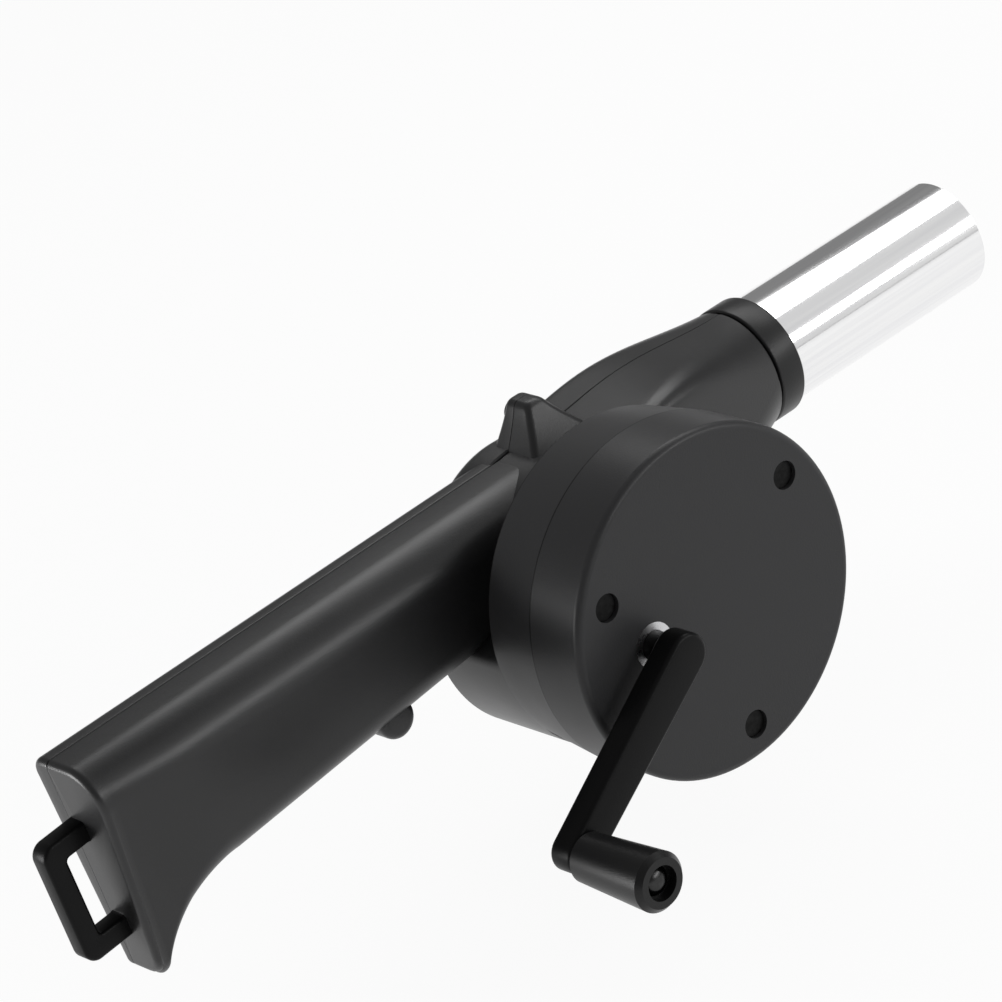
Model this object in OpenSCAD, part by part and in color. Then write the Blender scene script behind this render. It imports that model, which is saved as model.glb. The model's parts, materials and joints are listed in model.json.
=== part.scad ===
// Hand crank blower: a pistol-shaped plastic body with a round fan drum on its right side,
// a bright steel nozzle tube in front and a crank that drives the fan through two gear steps.
// X runs along the nozzle, Z is up, and the crank side faces -Y. Depths run from the seam
// between the two body halves towards the crank side.

/* [Drum] */
// Radius of the drum at its outer seam
drum_r = 35.5; // [34.5:0.5:38]
// How much the drum narrows from its outer seam to the seam of the fan chamber
drum_taper = 1.6; // [0.5:0.1:2.5]
// Radius of the drum where it meets the body seam
drum_root_r = 25.3; // [25.1:0.1:27]
// Radius of the air inlet dome on the left side
inlet_r = 24.5; // [24.3:0.1:26]
// Height of the air inlet dome
inlet_d = 9; // [8:0.5:12]
// Depth of the fan chamber
fan_d = 24; // [23:0.5:28]
// Depth of the gear case
case_d = 14; // [13:0.5:18]
// Depth of the gear cover
cover_d = 14; // [13.5:0.5:18]
// Radius of the rounded rim of the cover
rim_r = 1.5; // [0.5:0.1:2]
// Wall of the mouldings
wall = 2; // [1.6:0.1:2.2]

/* [Handle] */
// Height of the handle's top above the drum axis
handle_top = 23; // [22:0.5:24]
// Distance of the handle's rear end from the drum axis
handle_l = 121.5; // [110:0.5:140]
// Width of the handle right of the seam
handle_w = 15; // [14:0.5:18]
// Width of the handle left of the seam
lid_w = 5.5; // [5:0.5:7]
// Rounding of the handle's upper right edge
grip_r = 9; // [6:0.5:10]
// Rounding of the other long edges
edge_r = 3.5; // [2.5:0.5:5]
// Height of the handle's underside below the drum axis, at the drum
belly_z = 1.4; // [0:0.2:3]
// Slope of the handle's top in degrees
top_slope = 1; // [0:0.5:2]
// Slope of the handle's underside in degrees
belly_slope = 6; // [3:0.5:7]
// Lean of the rear face in degrees
rear_lean = 5; // [2:0.5:6]
// Depth of the heel below the drum axis
heel_z = 28.6; // [26:0.2:30]
// Radius of the hollow in front of the heel
heel_r = 20; // [17:0.5:21]

/* [Nozzle] */
// Outer radius of the steel tube
tube_r = 12.2; // [11.5:0.1:12.6]
// Wall of the steel tube
tube_wall = 0.8; // [0.6:0.1:1.2]
// Height of the tube axis above the drum axis
tube_z = 10.6; // [10:0.2:12]
// Where the free end of the tube lies
tube_end_x = 122.5; // [110:0.5:170]
// Where the body ends and the collar starts
nose_x = 60; // [54:0.5:62]
// Length of the collar
collar_l = 6.5; // [5:0.5:12]
// Length of tube held in the body
tube_grip = 7; // [5:0.5:10]
// Wall of the collar round the tube
collar_wall = 1.2; // [1:0.1:1.6]

/* [Crank] */
// Distance of the crank axis from the drum axis
crank_x = 17; // [16.5:0.1:17.5]
// Length of the crank arm between its axes
crank_l = 43; // [38:0.5:55]
// Angle of the arm at rest, in degrees
crank_angle = 213.5; // [200:0.5:250]
// Radius of the crank shaft
crank_shaft_r = 3; // [2.5:0.1:3.2]
// Width of the arm at its root
arm_w = 9; // [8:0.5:10]
// Width of the arm at the knob
arm_tip_w = 8; // [7:0.5:9]
// Thickness of the arm
arm_t = 6; // [5:0.5:8]
// Gap between cover and arm
arm_gap = 4; // [2:0.5:6]
// Length of the knob
knob_l = 21; // [18:0.5:30]
// Radius of the knob at its free end
knob_r = 6; // [5.2:0.1:7]
// Radius of the knob at the arm
knob_root_r = 5; // [4.6:0.1:6]

/* [Gears] */
// Module of the teeth
tooth_m = 0.8; // [0.78:0.01:0.82]
// Teeth of the two large wheels
wheel_n = 28; // [27:1:28]
// Teeth of the two pinions
pinion_n = 12; // [12:1:13]
// Width of a toothed wheel
gear_w = 6; // [5:0.5:6.5]
// Radius of the fan shaft and of the idler axle
fan_shaft_r = 1.5; // [1.2:0.1:1.7]

/* [Fan] */
// Outer radius of the fan
fan_r = 22.5; // [20:0.5:23]
// Width of the fan
fan_w = 22; // [20:0.5:22]
// Number of fan blades
blade_n = 11; // [8:1:12]
// Thickness of a blade
blade_t = 1.2; // [1:0.1:1.6]

/* [Fits] */
// Radial clearance of a turning fit
run_gap = 0.06; // [0.04:0.01:0.09]
// Radial clearance of a fixed fit
seat_gap = 0.03; // [0.02:0.01:0.06]
// Free space between turning and fixed faces
free_gap = 0.6; // [0.4:0.1:1]

/* [Hidden] */
$fn = 64;
eps = 0.01;
big = 400;

// Depths of the drum's seams and of its face
case_y = fan_d;
cover_y = case_y + case_d;
face_y = cover_y + cover_d;
face_t = 3.2;
cover_floor_y = face_y - face_t;
rear_x = -handle_l;

// Lower lobe of the fan chamber, which touches the drum's middle seam from inside
drum_mid_r = drum_r - drum_taper;
lobe_x = -1;
lobe_z = -5.2;
lobe_r = drum_mid_r - norm([lobe_x, lobe_z]);

// Screws of the cover: three on a circle, with their posts inside the drum wall
screw_r = 1.5;
screw_head_r = 2.7;
screw_head_h = 1.8;
screw_pcd_r = drum_r - 7;
screw_first = 33;
post_r = 2.9;
boss_l = 7;
sink_r = screw_head_r + 0.4;
sink_d = 2.6;

// Gear steps: crank wheel to idler pinion, then idler wheel to fan pinion
addendum = 0.7 * tooth_m;
dedendum = 0.95 * tooth_m;
flank_angle = 20;
backlash = 0.16;
axis_d = tooth_m * (wheel_n + pinion_n) / 2;
idler_x = -crank_x / 2;
idler_z = sqrt(axis_d * axis_d - idler_x * idler_x);
step_a_y = cover_floor_y - 2 * free_gap - gear_w;
step_b_y = step_a_y - free_gap - gear_w;
boss_y = step_a_y + gear_w + free_gap;
case_floor = 2.4;
idler_bore_r = fan_shaft_r + run_gap;
hub_r = 3.4;
drive_hub_r = crank_shaft_r + 0.7;

// Bushes
crank_bush_r = crank_shaft_r + 1.6;
fan_bush_r = fan_shaft_r + 1.5;
bush_l = 6;
bearing_wall = 1.8;

// Crank and knob
arm_y = face_y + arm_gap;
arm_out_y = arm_y + arm_t;
tip_x = -crank_x + crank_l * cos(crank_angle);
tip_z = crank_l * sin(crank_angle);
pin_r = 2;
pin_head_r = 3;
knob_y = arm_out_y + 0.4;
knob_end_y = knob_y + knob_l;
knob_recess = 2.2;
recess_r = pin_head_r + 0.5;
clip_t = 0.8;

// Fan wheel
fan_back_y = fan_d - 1.4;
fan_front_y = fan_back_y - fan_w;
fan_plate = 1.4;
fan_hub_r = 4.5;
blade_in_r = 8;
blade_bow = 15;
blade_sweep = 35;
blade_inset = 0.4;

// Inlet slots in the left half
slot_n = 16;
slot_in_r = 8;
slot_out_r = inlet_r - 5;
slot_w = 2.6;
inlet_edge_r = 4;

// Nozzle loft: a rounded box at the drum drawn down to a circle at the collar
nose_r = tube_r + 1;
collar_r = tube_r + collar_wall;
tube_x = nose_x - tube_grip;
box_x = 8;
box_corner_r = 8;
box_left = 9;
box_right = 23;
box_bottom = 9;

// Heel and loop at the rear end
heel_x = rear_x + 27;
tip_r = 2.3;
heel_tip_w = 8;
loop_h = 27;
loop_out = 11;
loop_bar = 4.6;
loop_t = 4.6;
loop_z = -5;
loop_corner_r = 3;
loop_root = 8;
loop_y = 0.2;
loop_w = loop_out + loop_root;
loop_x = rear_x + (handle_top - loop_z) * tan(rear_lean) + (loop_root - loop_out) / 2;
loop_reach = loop_corner_r + (loop_w / 2 - loop_corner_r) * cos(rear_lean)
    + (loop_h / 2 - loop_corner_r) * sin(rear_lean);

// Screw places of the body halves: hump on top, bump below, rear end of the handle
hump_x = 6;
hump_z = 28.4;
bump_x = -52;
bump_z = -6.5;
bump_r = 4.2;
tail_x = rear_x + 14;
tail_z = 9;
body_screw_l = 9;
body_sink_d = 4.2;
body_post_r = sink_r + 1.1;
hump_top = 33;
hump_right = 9;
hump_tip_right = 3.5;
body_screws = [[hump_x, hump_z], [bump_x, bump_z], [tail_x, tail_z]];

// Middle of the whole blower, which becomes the origin
mid_x = (tube_end_x + loop_x - loop_reach) / 2;
mid_y = (collar_r - knob_end_y) / 2;

// Moves a part from the drum axis to the blower's own middle
module placed() {
    translate([-mid_x, -mid_y, 0]) children();
}

// Extrudes a Y-Z outline along X
module along_x(x0, x1) {
    translate([x0, 0, 0]) rotate([90, 0, 90]) linear_extrude(x1 - x0) children();
}

// Extrudes an X-Z outline from one depth to another
module along_depth(d0, d1) {
    translate([0, -d0, 0]) rotate([90, 0, 0]) linear_extrude(d1 - d0) children();
}

// Turns a radius-depth outline round the drum axis
module turned() {
    rotate([90, 0, 0]) rotate_extrude() children();
}

// A round bar along the depth at a place in X and Z
module rod(x, z, d0, d1, r) {
    translate([x, -d0, z]) rotate([90, 0, 0]) cylinder(r = r, h = d1 - d0);
}

// A round bar along X at the height of the tube
module tube_rod(x0, x1, r) {
    translate([x0, 0, tube_z]) rotate([0, 90, 0]) cylinder(r = r, h = x1 - x0);
}

// A rectangle from the origin with its far corner rounded
module corner_rect(w, h, r) {
    square([w - r, h]);
    square([w, h - r]);
    translate([w - r, h - r]) circle(r);
}

// A rectangle about the origin with four rounded corners
module round_rect(w, h, r) {
    square([w - 2 * r, h], center = true);
    square([w, h - 2 * r], center = true);
    for (sx = [-1, 1], sz = [-1, 1]) {
        translate([sx * (w / 2 - r), sz * (h / 2 - r)]) circle(r);
    }
}

// Everything right of the body seam, or left of it
module half(right) {
    translate([-big / 2, right ? -big : 0, -big / 2]) cube([big, big, big]);
}

// One half of the handle, drawn in by t on all sides: rounded top edge, sloping rounded underside
module handle_half(w, top_r, low_r, t) {
    intersection() {
        translate([0, 0, handle_top - t]) rotate([0, -top_slope, 0]) {
            along_x(rear_x - wall, 0) translate([0, -big / 2]) corner_rect(w - t, big / 2, top_r);
        }
        translate([0, 0, -belly_z + t]) rotate([0, -belly_slope, 0]) {
            along_x(-big / 2, big / 2) mirror([0, 1]) translate([0, -big / 2]) {
                corner_rect(w - t, big / 2, low_r);
            }
        }
        rear_cut(t);
    }
}

// Space in front of the leaning rear face
module rear_cut(t) {
    translate([rear_x + t, 0, handle_top]) rotate([0, -rear_lean, 0]) {
        translate([0, -big / 2, -big / 2]) cube([big, big, big]);
    }
}

// Heel hook below the rear end, narrowing to its tip
module heel() {
    belly_rear_z = -belly_z + tan(belly_slope) * heel_x;
    tip_z_mid = tip_r - heel_z;
    tip_x_mid = heel_x - heel_r - tip_r;
    intersection() {
        along_depth(-lid_w, handle_w) {
            difference() {
                translate([rear_x, tip_z_mid]) square([heel_x - rear_x, belly_rear_z + wall - tip_z_mid]);
                translate([heel_x, belly_rear_z - heel_r]) circle(heel_r);
            }
            translate([tip_x_mid, tip_z_mid]) circle(tip_r);
        }
        along_x(rear_x - wall, heel_x) {
            polygon([[lid_w, 0], [-handle_w, 0], [-heel_tip_w, -heel_z], [lid_w - 4.5, -heel_z]]);
        }
        rear_cut(0);
    }
}

// Both halves of the handle as one form
module handle_form(t) {
    mirror([0, 1, 0]) handle_half(handle_w, grip_r - t, edge_r + 2.5 - t, t);
    handle_half(lid_w, edge_r - t, edge_r - t, t);
}

// Fan chamber part of the drum right of the seam
module drum_form(t) {
    over = eps * sign(t);
    turned() polygon([[0, -over], [drum_root_r - t, -over], [drum_mid_r - t, fan_d + over], [0, fan_d + over]]);
    rod(lobe_x, lobe_z, -over, fan_d + over, lobe_r - t);
}

// Air inlet dome left of the seam
module inlet_form(t) {
    turned() mirror([0, 1]) corner_rect(inlet_r - t, inlet_d - t, inlet_edge_r - t);
}

// Nozzle from the drum to the collar
module nozzle_form(t) {
    hull() {
        for (y = [box_left - box_corner_r, -box_right + box_corner_r]) {
            for (z = [handle_top - box_corner_r, -box_bottom + box_corner_r]) {
                translate([box_x, y, z]) rotate([0, 90, 0]) {
                    cylinder(r = box_corner_r - t, h = 1, $fn = 32);
                }
            }
        }
        tube_rod(nose_x - 1, nose_x + eps * sign(t), nose_r - t);
    }
}

// Hump with the upper body screw, drawn in towards its top
module hump() {
    hull() {
        translate([hump_x - 8, -hump_right, handle_top - 4]) cube([18, hump_right + lid_w, 1]);
        translate([hump_x - 2, -hump_tip_right, hump_top - 1]) cube([4, hump_tip_right + lid_w / 2, 1]);
    }
}

// Outer form of the body
module body_form() {
    handle_form(0);
    heel();
    nozzle_form(0);
    hump();
    rod(bump_x, bump_z, -lid_w, handle_w - 2, bump_r);
}

// Places its child at each cover screw
module at_cover_screws() {
    for (i = [0:2]) {
        a = screw_first + 120 * i;
        rotate([0, -a, 0]) translate([screw_pcd_r, 0, 0]) children();
    }
}

// Air and hollow spaces of the body
module body_hollow() {
    difference() {
        handle_form(wall);
        drum_form(0);
        inlet_form(0);
        for (p = body_screws) rod(p.x, p.y, -lid_w, handle_w, body_post_r);
    }
    nozzle_form(wall);
    tube_rod(tube_x, nose_x + 1, tube_r + seat_gap);
}

// Slot for the root of the hanging loop
module loop_slot() {
    at_loop() along_depth(loop_y - seat_gap, loop_y + loop_t + seat_gap) {
        square([loop_w + 2 * seat_gap, loop_h + 2 * seat_gap], center = true);
    }
}

// Places its child at the middle of the loop, leaning with the rear face
module at_loop() {
    translate([loop_x, 0, loop_z]) rotate([0, -rear_lean, 0]) children();
}

// Right half of the body with the fan chamber
module housing_right() {
    color([0.16, 0.16, 0.17]) placed() difference() {
        union() {
            intersection() {
                body_form();
                half(true);
            }
            drum_form(0);
        }
        difference() {
            body_hollow();
            rod(hump_x, hump_z, 0, handle_w - 2, body_post_r);
        }
        difference() {
            drum_form(wall);
            at_cover_screws() {
                rod(0, 0, fan_d - boss_l, fan_d + 1, post_r);
                translate([0, -fan_d - 1, -screw_r]) cube([drum_r, boss_l + 1, 2 * screw_r]);
            }
            rod(hump_x, hump_z, 0, handle_w - 2, body_post_r);
        }
        at_cover_screws() rod(0, 0, fan_d - boss_l + wall, fan_d + 1, screw_r + seat_gap);
        for (p = body_screws) rod(p.x, p.y, -1, body_screw_l - lid_w + 1, screw_r + seat_gap);
        loop_slot();
    }
}

// Left half of the body with the air inlet
module housing_left() {
    color([0.15, 0.15, 0.16]) placed() difference() {
        union() {
            intersection() {
                body_form();
                half(false);
            }
            inlet_form(0);
        }
        difference() {
            body_hollow();
            inlet_form(0);
        }
        difference() {
            inlet_form(wall);
            rod(0, 0, -inlet_d, -inlet_d + wall + bush_l, fan_bush_r + bearing_wall);
        }
        intersection() {
            nozzle_form(wall);
            translate([fan_r / 2, -big / 2, -big / 2]) cube(big);
        }
        inlet_slots();
        rod(0, 0, -inlet_d + wall, 1, fan_bush_r + seat_gap);
        for (p = body_screws) {
            rod(p.x, p.y, -lid_w - 1, 1, screw_r + seat_gap);
            rod(p.x, p.y, -lid_w - 1, -lid_w + body_sink_d, sink_r);
        }
    }
}

// Ring of radial slots in the inlet dome
module inlet_slots() {
    for (i = [0:slot_n - 1]) {
        rotate([0, i * 360 / slot_n, 0]) translate([slot_in_r, inlet_d - 2 * wall, -slot_w / 2]) {
            cube([slot_out_r - slot_in_r, 3 * wall, slot_w]);
        }
    }
}

// Middle part of the drum, with the bearings of crank, idler and fan
module gear_case() {
    floor_y = case_y + case_floor;
    color([0.17, 0.17, 0.18]) placed() difference() {
        union() {
            difference() {
                turned() polygon([[0, case_y], [drum_mid_r, case_y], [drum_r, cover_y], [0, cover_y]]);
                turned() polygon([[0, floor_y], [drum_mid_r - wall, floor_y],
                    [drum_r - wall, cover_y + eps], [0, cover_y + eps]]);
            }
            rod(-crank_x, 0, case_y, case_y + bush_l + clip_t, crank_bush_r + bearing_wall);
            rod(0, 0, case_y, case_y + bush_l, fan_bush_r + bearing_wall);
            rod(idler_x, idler_z, case_y, case_y + bush_l, fan_shaft_r + bearing_wall);
            at_cover_screws() rod(0, 0, case_y, cover_y, post_r);
        }
        rod(-crank_x, 0, case_y - 1, case_y + bush_l + 2, crank_bush_r + seat_gap);
        rod(0, 0, case_y - 1, case_y + bush_l + 1, fan_bush_r + seat_gap);
        rod(idler_x, idler_z, case_y - 1, case_y + bush_l + 1, fan_shaft_r + seat_gap);
        at_cover_screws() rod(0, 0, case_y - 1, cover_y + 1, screw_r + seat_gap);
    }
}

// Outer cover of the gears, a shallow cup with a flat face
module gear_cover() {
    color([0.19, 0.19, 0.20]) placed() difference() {
        union() {
            difference() {
                turned() translate([0, cover_y]) corner_rect(drum_r, cover_d, rim_r);
                turned() translate([0, cover_y - eps]) square([drum_r - wall, cover_d - face_t + eps]);
            }
            at_cover_screws() rod(0, 0, cover_y, face_y, post_r + 0.1);
            rod(-crank_x, 0, boss_y, face_y, crank_bush_r + bearing_wall);
            rod(idler_x, idler_z, boss_y, face_y - eps, fan_shaft_r + bearing_wall);
        }
        at_cover_screws() rod(0, 0, cover_y - 1, face_y + 1, screw_r + seat_gap);
        at_cover_screws() rod(0, 0, face_y - sink_d, face_y + 1, sink_r - 0.2);
        rod(-crank_x, 0, cover_y, face_y + 1, crank_bush_r + seat_gap);
        rod(idler_x, idler_z, cover_y, face_y - wall / 2, fan_shaft_r + seat_gap);
    }
}

// Plastic ring that closes the body round the tube
module nozzle_collar() {
    color([0.12, 0.12, 0.13]) placed() difference() {
        tube_rod(nose_x, nose_x + collar_l, collar_r);
        tube_rod(nose_x - 1, nose_x + collar_l + 1, tube_r + seat_gap);
    }
}

// Bright steel tube of the nozzle
module nozzle_tube() {
    color([0.85, 0.85, 0.86]) placed() difference() {
        tube_rod(tube_x, tube_end_x, tube_r);
        tube_rod(tube_x - 1, tube_end_x + 1, tube_r - tube_wall);
    }
}

// Loop to hang the blower up, held by its root in the rear wall
module hanging_loop() {
    color([0.12, 0.12, 0.13]) placed() at_loop() along_depth(loop_y, loop_y + loop_t) difference() {
        round_rect(loop_w, loop_h, loop_corner_r);
        translate([(loop_bar - loop_root) / 2, 0]) {
            square([loop_out - loop_bar, loop_h - 2 * loop_bar], center = true);
        }
    }
}

// One screw along the depth, its head at depth d0 and its shank towards the other side
module screw(d0, l) {
    rod(0, 0, d0 - screw_head_h, d0, screw_head_r);
    rod(0, 0, d0 - eps, d0 + l, screw_r);
}

// Screws that hold cover and case on the right half
module cover_screws() {
    seat_y = face_y - sink_d;
    color("silver") placed() at_cover_screws() mirror([0, 1, 0]) {
        screw(-seat_y, seat_y - fan_d + boss_l - wall - 1);
    }
}

// Screws that hold the left half on the right one
module body_screws_set() {
    color("silver") placed() for (p = body_screws) {
        translate([p.x, 0, p.y]) screw(-lid_w + body_sink_d, body_screw_l - body_sink_d);
    }
}

// Front bush of the crank in the cover's face
module crank_bush_front() {
    color([0.2, 0.2, 0.2]) placed() difference() {
        rod(-crank_x, 0, boss_y, face_y, crank_bush_r);
        rod(-crank_x, 0, cover_y, face_y + 1, crank_shaft_r + run_gap);
    }
}

// Rear bush of the crank in the gear case
module crank_bush_rear() {
    color("goldenrod") placed() difference() {
        rod(-crank_x, 0, case_y, case_y + bush_l, crank_bush_r);
        rod(-crank_x, 0, case_y - 1, case_y + bush_l + 1, crank_shaft_r + run_gap);
    }
}

// Bush of the fan shaft at depth d0
module fan_bush(d0) {
    color("goldenrod") placed() difference() {
        rod(0, 0, d0, d0 + bush_l, fan_bush_r);
        rod(0, 0, d0 - 1, d0 + bush_l + 1, fan_shaft_r + run_gap);
    }
}

module fan_bush_case() {
    fan_bush(case_y);
}

module fan_bush_inlet() {
    fan_bush(-inlet_d + wall);
}

// Fixed axle of the idler between case and cover
module idler_axle() {
    color("silver") placed() rod(idler_x, idler_z, case_y + 1, face_y - wall / 2, fan_shaft_r);
}

// Steel shaft of the crank
module crank_shaft() {
    color("silver") placed() rod(-crank_x, 0, case_y + clip_t, arm_out_y - 1, crank_shaft_r);
}

// Clip that keeps the crank shaft from sliding out of its rear bush
module shaft_clip() {
    clip_y = case_y + bush_l + 0.3;
    color("dimgray") placed() difference() {
        rod(-crank_x, 0, clip_y, clip_y + clip_t, crank_shaft_r + 1.3);
        rod(-crank_x, 0, clip_y - 1, clip_y + clip_t + 1, crank_shaft_r + seat_gap);
    }
}

// Crank arm: a tapered bar with rounded ends and a groove along each side
module crank_arm() {
    groove = 0.9;
    color([0.1, 0.1, 0.11]) placed() difference() {
        translate([-crank_x, 0, 0]) rotate([0, -crank_angle, 0]) difference() {
            along_depth(arm_y, arm_out_y) {
                circle(arm_w / 2);
                translate([crank_l, 0]) circle(arm_tip_w / 2);
                polygon([[0, -arm_w / 2], [crank_l, -arm_tip_w / 2], [crank_l, arm_tip_w / 2], [0, arm_w / 2]]);
            }
            for (s = [-1, 1]) {
                translate([arm_w, -(arm_y + arm_out_y) / 2, s * arm_w / 2]) {
                    cube([2 * (crank_l - arm_w - arm_tip_w), arm_t / 3, 2 * groove], center = true);
                }
            }
        }
        rod(-crank_x, 0, arm_y - 1, arm_out_y - 1 + seat_gap, crank_shaft_r + seat_gap);
        rod(tip_x, tip_z, arm_y - 1, arm_out_y + 1, pin_r + seat_gap);
    }
}

// Rivet on which the knob turns, with a domed head in the knob's end
module knob_pin() {
    head_y = knob_end_y - knob_recess + run_gap;
    dome_r = 3.6;
    dome_h = 1.6;
    color("silver") placed() translate([tip_x, 0, tip_z]) turned() {
        translate([0, arm_y]) square([pin_r, head_y - arm_y]);
        intersection() {
            translate([0, head_y]) square([pin_head_r, dome_h]);
            translate([0, head_y + dome_h - dome_r]) circle(dome_r);
        }
    }
}

// Knob, widening towards its free end
module crank_knob() {
    color([0.13, 0.13, 0.14]) placed() translate([tip_x, 0, tip_z]) difference() {
        turned() translate([0, knob_y]) {
            polygon([[0, 0], [knob_root_r - 0.6, 0], [knob_root_r, 0.6], [knob_r, knob_l - 1.2],
                [knob_r - 1, knob_l], [0, knob_l]]);
        }
        rod(0, 0, knob_y - 1, knob_end_y + 1, pin_r + run_gap);
        rod(0, 0, knob_end_y - knob_recess, knob_end_y + 1, recess_r);
    }
}

// Polar angle that an involute has gained at radius r above its base circle, in degrees
function unwound(base, r) = let (a = acos(min(1, base / r))) tan(a) * 180 / PI - a;

// Point at radius r and angle a
function polar(r, a) = [r * cos(a), r * sin(a)];

// Outline of a toothed wheel with n teeth and involute flanks, one tooth on the +X axis
function tooth_outline(n) = let (
    pitch_r = tooth_m * n / 2,
    base = pitch_r * cos(flank_angle),
    root_r = pitch_r - dedendum,
    top_r = pitch_r + addendum,
    low_r = max(base, root_r),
    steps = 4,
    half_pitch = 90 / n - backlash / 2 / pitch_r * 90 / PI,
    radii = [for (i = [0:steps]) low_r + (top_r - low_r) * i / steps],
    spread = [for (r = radii) half_pitch + unwound(base, pitch_r) - unwound(base, r)]
) [for (k = [0:n - 1]) let (a = 360 * k / n) each concat(
    [polar(root_r, a - spread[0])],
    [for (i = [0:steps]) polar(radii[i], a - spread[i])],
    [for (i = [steps:-1:0]) polar(radii[i], a + spread[i])],
    [polar(root_r, a + spread[0])]
)];

// Toothed wheel of n teeth at a place, with one tooth at the given angle
module toothed(x, z, d0, n, angle) {
    translate([x, 0, z]) rotate([0, -angle, 0]) along_depth(d0, d0 + gear_w) polygon(tooth_outline(n));
}

// Direction from crank to idler, and from idler to fan
to_idler = atan2(idler_z, idler_x + crank_x);
to_fan = atan2(-idler_z, -idler_x);

// Large wheel on the crank shaft
module drive_gear() {
    color("ivory") placed() difference() {
        union() {
            toothed(-crank_x, 0, step_a_y, wheel_n, to_idler);
            rod(-crank_x, 0, case_y + bush_l + 0.3 + clip_t + free_gap, step_a_y + eps, drive_hub_r);
        }
        rod(-crank_x, 0, case_y, face_y, crank_shaft_r + seat_gap);
    }
}

// Idler: a pinion driven by the crank wheel and a large wheel that drives the fan
module idler_gear() {
    color("ivory") placed() difference() {
        union() {
            toothed(idler_x, idler_z, step_a_y, pinion_n, to_idler + 180 + 180 / pinion_n);
            toothed(idler_x, idler_z, step_b_y, wheel_n, to_fan);
            rod(idler_x, idler_z, case_y + bush_l + free_gap, step_a_y + eps, hub_r);
        }
        rod(idler_x, idler_z, case_y, face_y, idler_bore_r);
    }
}

// Pinion on the fan shaft
module fan_pinion() {
    color("ivory") placed() difference() {
        union() {
            toothed(0, 0, step_b_y, pinion_n, to_fan + 180 + 180 / pinion_n);
            rod(0, 0, case_y + bush_l + free_gap, step_b_y + eps, hub_r);
        }
        rod(0, 0, case_y, face_y, fan_shaft_r + seat_gap);
    }
}

// Steel shaft of the fan
module fan_shaft() {
    color("silver") placed() rod(0, 0, -inlet_d + wall + 0.4, step_b_y + gear_w, fan_shaft_r);
}

// One blade, a strip of a ring swept back from the hub to the rim
module blade() {
    inner = [blade_in_r, 0];
    outer = polar(fan_r, -blade_sweep);
    across = outer - inner;
    rise = sqrt(blade_bow * blade_bow - norm(across) * norm(across) / 4);
    centre = (inner + outer) / 2 - rise * [-across.y, across.x] / norm(across);
    intersection() {
        translate(centre) difference() {
            circle(blade_bow + blade_t / 2);
            circle(blade_bow - blade_t / 2);
        }
        difference() {
            circle(fan_r - blade_inset);
            circle(blade_in_r);
        }
        polygon([[0, 0], polar(2 * fan_r, 15), polar(2 * fan_r, -blade_sweep / 2), polar(2 * fan_r, -blade_sweep - 15)]);
    }
}

// Fan wheel: hub, back plate and curved blades
module fan_wheel() {
    color([0.3, 0.3, 0.32]) placed() difference() {
        union() {
            rod(0, 0, fan_back_y - fan_plate, fan_back_y, fan_r);
            rod(0, 0, fan_front_y + fan_w / 3, fan_back_y, fan_hub_r);
            along_depth(fan_front_y, fan_back_y - fan_plate / 2) {
                for (i = [0:blade_n - 1]) rotate(i * 360 / blade_n) blade();
            }
        }
        rod(0, 0, fan_front_y - 1, fan_back_y + 1, fan_shaft_r + seat_gap);
    }
}

housing_right();
housing_left();
gear_case();
gear_cover();
nozzle_collar();
nozzle_tube();
hanging_loop();
cover_screws();
body_screws_set();  // body_screws
crank_bush_front();
crank_bush_rear();
fan_bush_case();
fan_bush_inlet();
idler_axle();
crank_shaft();
crank_arm();
drive_gear();
shaft_clip();
knob_pin();
crank_knob();
idler_gear();
fan_shaft();
fan_pinion();
fan_wheel();
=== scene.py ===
"""Hand crank blower: softened mouldings, finishes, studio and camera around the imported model."""
import json
import math

import bmesh
import bpy
import numpy as np
from mathutils import Matrix, Vector


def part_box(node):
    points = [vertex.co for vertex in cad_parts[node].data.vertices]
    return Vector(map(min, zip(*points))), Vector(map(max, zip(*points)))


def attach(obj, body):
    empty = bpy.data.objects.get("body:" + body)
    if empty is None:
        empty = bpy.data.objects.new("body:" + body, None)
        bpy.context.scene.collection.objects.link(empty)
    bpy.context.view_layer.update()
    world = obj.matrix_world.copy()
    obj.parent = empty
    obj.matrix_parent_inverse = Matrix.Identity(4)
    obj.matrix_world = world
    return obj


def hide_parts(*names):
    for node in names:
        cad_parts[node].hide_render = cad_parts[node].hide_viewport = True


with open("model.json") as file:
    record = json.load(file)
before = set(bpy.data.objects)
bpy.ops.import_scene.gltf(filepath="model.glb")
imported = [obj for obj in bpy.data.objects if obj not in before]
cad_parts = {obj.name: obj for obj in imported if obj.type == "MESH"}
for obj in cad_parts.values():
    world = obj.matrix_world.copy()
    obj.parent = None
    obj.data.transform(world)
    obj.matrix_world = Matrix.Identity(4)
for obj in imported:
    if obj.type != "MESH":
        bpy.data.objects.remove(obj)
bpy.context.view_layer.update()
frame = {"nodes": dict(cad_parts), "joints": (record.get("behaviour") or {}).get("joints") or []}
nodes = frame["nodes"]
joint_at = {j["name"]: Vector(j["pos_m"]) for j in frame["joints"]}
mm = 0.001

# The blower's own axes: the fan turns on the drum axis, and the two body halves meet in the plane
# of the tube's axis. Sizes below are in millimetres from there, with depth towards the crank.
tube_low, tube_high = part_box("nozzle_tube")
seam_y = (tube_low.y + tube_high.y) / 2
drum_axis = Vector((joint_at["fan_turn"].x, seam_y, joint_at["fan_turn"].z))


# Camera. A long lens looks from the crank side, above and behind, and the picture is turned so
# that the nozzle points up to the right.
view_turn = math.radians(-34.82)
view_lift = math.radians(25.72)
view_roll = math.radians(-16.17)
view_distance = 1.0
view_right = -7.89 * mm
view_up = 10.07 * mm
film_width = 36.0
lens_length = 179.5

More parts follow.
